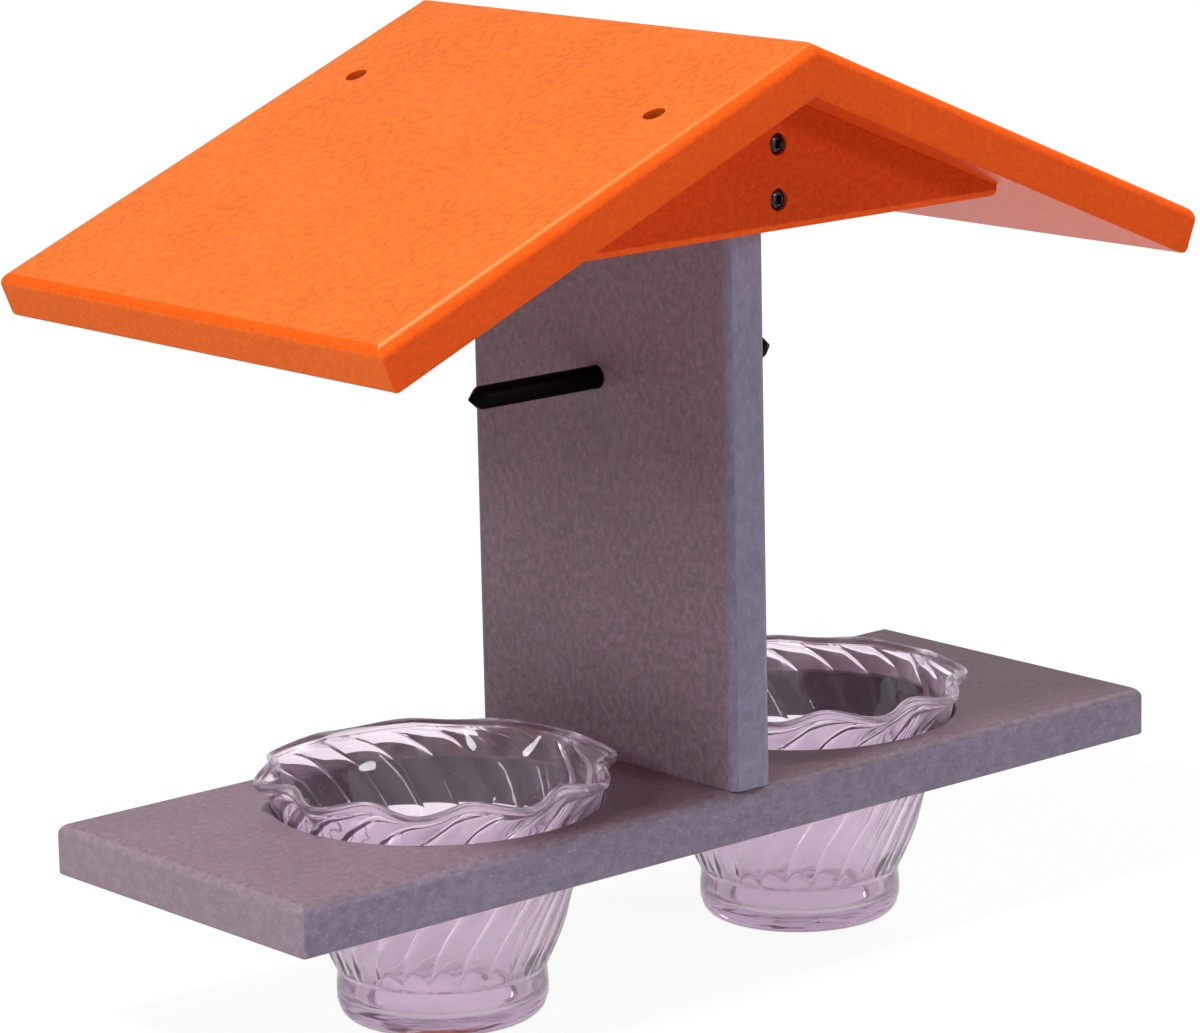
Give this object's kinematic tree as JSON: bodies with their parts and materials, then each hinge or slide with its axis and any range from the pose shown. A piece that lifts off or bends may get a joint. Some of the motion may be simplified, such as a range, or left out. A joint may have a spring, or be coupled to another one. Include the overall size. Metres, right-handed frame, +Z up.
{
  "type": "oriole feeder",
  "caption": "Roofed bird feeder of plastic boards: a flat base with clear ruffled cups hung in round holes, a central upright with a fruit spike, and a pitched roof on gables.",
  "frame": {"origin": "centre of the base board's underside, where a pole flange or bracket is screwed on", "axes": "+X along the base from the left cup to the right cup, front towards -Y, +Z up to the roof's ridge"},
  "size_m": [0.3048, 0.161, 0.2604],
  "materials": {
    "grey_board": "satin, mottled, with fine pale flecks",
    "orange_board": "satin, faintly mottled",
    "black_rod": "black coated, semi-gloss",
    "clear_cup": "clear, polished",
    "screw_steel": "plain steel"
  },
  "bodies": {
    "frame": {"base_board": "grey_board", "upright_board": "grey_board", "front_gable": "orange_board", "rear_gable": "orange_board", "left_roof_panel": "orange_board", "right_roof_panel": "orange_board", "fruit_spike": "black_rod", "base_screw_front": "screw_steel", "base_screw_rear": "screw_steel", "front_gable_screw_lower": "screw_steel", "front_gable_screw_upper": "screw_steel", "rear_gable_screw_lower": "screw_steel", "rear_gable_screw_upper": "screw_steel", "right_roof_screw_front": "screw_steel", "right_roof_screw_rear": "screw_steel", "left_roof_screw_front": "screw_steel", "left_roof_screw_rear": "screw_steel"},
    "left_cup": {"left_cup": "clear_cup"},
    "right_cup": {"right_cup": "clear_cup"}
  },
  "joints": [
    {"name": "left_cup_lift", "type": "slide", "parent": "frame", "child": "left_cup", "axis": [0, 0, 1], "range_m": [0, 0.06]},
    {"name": "right_cup_lift", "type": "slide", "parent": "frame", "child": "right_cup", "axis": [0, 0, 1], "range_m": [0, 0.06]}
  ]
}
